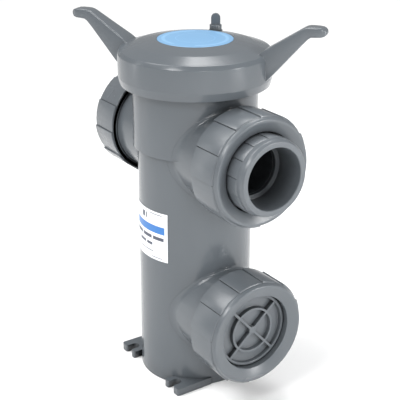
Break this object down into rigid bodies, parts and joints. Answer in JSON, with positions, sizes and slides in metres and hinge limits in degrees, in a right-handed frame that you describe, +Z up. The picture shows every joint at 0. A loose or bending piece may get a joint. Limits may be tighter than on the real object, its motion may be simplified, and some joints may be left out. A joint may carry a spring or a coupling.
{
  "type": "basket strainer",
  "caption": "Plastic basket strainer with socket unions in line, a blanked low union port, a screwed cover with turning arms and a lift-out basket.",
  "frame": {"origin": "centre of the underside of the foot, on the axis of the body", "axes": "+Z up along the body axis, +X from the inlet socket to the outlet socket, -Y the label side"},
  "size_m": [0.3896, 0.2424, 0.5598],
  "materials": {
    "grey_pvc": "satin moulded",
    "basket_plastic": "moulded",
    "pin_plastic": "moulded",
    "seal_rubber": "smooth",
    "label_film": "printed film",
    "disc_blue": "printed disc"
  },
  "bodies": {
    "housing": {"body_floor": "grey_pvc", "body": "grey_pvc", "body_neck": "grey_pvc", "inlet_boss": "grey_pvc", "outlet_boss": "grey_pvc", "lower_boss": "grey_pvc", "inlet_spigot": "grey_pvc", "foot_ear_front_left": "grey_pvc", "foot_ear_front_right": "grey_pvc", "foot_ear_rear_left": "grey_pvc", "foot_ear_rear_right": "grey_pvc", "body_label": "label_film", "inlet_face_o_ring": "seal_rubber", "outlet_face_o_ring": "seal_rubber", "lower_face_o_ring": "seal_rubber"},
    "cover_seal": {"cover_o_ring": "seal_rubber"},
    "cover": {"cover": "grey_pvc", "cover_badge": "disc_blue"},
    "vent_seal": {"vent_plug_o_ring": "seal_rubber"},
    "vent_plug": {"vent_plug": "grey_pvc"},
    "basket": {"basket_rim": "basket_plastic", "basket_collar": "basket_plastic", "basket_screen": "basket_plastic", "basket_floor": "basket_plastic", "basket_pin_left": "pin_plastic", "basket_pin_right": "pin_plastic"},
    "basket_handle": {"basket_handle": "basket_plastic"},
    "inlet_connector": {"inlet_connector": "grey_pvc"},
    "inlet_union_nut": {"inlet_union_nut": "grey_pvc"},
    "outlet_connector": {"outlet_connector": "grey_pvc"},
    "outlet_union_nut": {"outlet_union_nut": "grey_pvc"},
    "lower_blanking_plug": {"lower_blanking_plug": "grey_pvc"},
    "lower_union_nut": {"lower_union_nut": "grey_pvc"}
  },
  "joints": [
    {"name": "cover_lift", "type": "slide", "parent": "housing", "child": "cover_seal", "axis": [0, 0, 1], "range_m": [0, 0.64]},
    {"name": "cover_turn", "type": "hinge", "parent": "cover_seal", "child": "cover", "pos_m": [0, 0, 0.5064], "axis": [0, 0, 1], "range_deg": [0, 1080]},
    {"name": "basket_lift", "type": "slide", "parent": "housing", "child": "basket", "axis": [0, 0, 1], "range_m": [0, 0.4609]},
    {"name": "basket_handle_swing", "type": "hinge", "parent": "basket", "child": "basket_handle", "pos_m": [0, 0, 0.478], "axis": [0, -1, 0], "range_deg": [0, 90]},
    {"name": "vent_turn", "type": "hinge", "parent": "vent_seal", "child": "vent_plug", "pos_m": [-0.04271, 0.06527, 0.527], "axis": [0, 0, 1], "range_deg": [0, 4326]},
    {"name": "vent_screw_travel", "type": "slide", "parent": "cover", "child": "vent_seal", "axis": [0, 0, 1], "range_m": [0, 0.018]},
    {"name": "inlet_nut_turn", "type": "hinge", "parent": "inlet_connector", "child": "inlet_union_nut", "pos_m": [-0.14, 0, 0.3733], "axis": [-1, 0, 0], "range_deg": [0, 3600]},
    {"name": "inlet_union_slide", "type": "slide", "parent": "housing", "child": "inlet_connector", "axis": [-1, 0, 0], "range_m": [0, 0.0601]},
    {"name": "outlet_nut_turn", "type": "hinge", "parent": "outlet_connector", "child": "outlet_union_nut", "pos_m": [0.14, 0, 0.3733], "axis": [1, 0, 0], "range_deg": [0, 3600]},
    {"name": "outlet_union_slide", "type": "slide", "parent": "housing", "child": "outlet_connector", "axis": [1, 0, 0], "range_m": [0, 0.0601]},
    {"name": "lower_nut_turn", "type": "hinge", "parent": "lower_blanking_plug", "child": "lower_union_nut", "pos_m": [0.14, 0, 0.1215], "axis": [1, 0, 0], "range_deg": [0, 3600]},
    {"name": "lower_union_slide", "type": "slide", "parent": "housing", "child": "lower_blanking_plug", "axis": [1, 0, 0], "range_m": [0, 0.0601]}
  ],
  "couplings": [
    {"joint": "basket_lift", "follows": "cover_lift", "ratio": 0.72},
    {"joint": "vent_turn", "follows": "vent_screw_travel", "rad_per_m": 4188.8},
    {"joint": "inlet_union_slide", "follows": "inlet_nut_turn", "m_per_rad": 0.00095493},
    {"joint": "outlet_union_slide", "follows": "outlet_nut_turn", "m_per_rad": 0.00095493},
    {"joint": "lower_union_slide", "follows": "lower_nut_turn", "m_per_rad": 0.00095493}
  ]
}
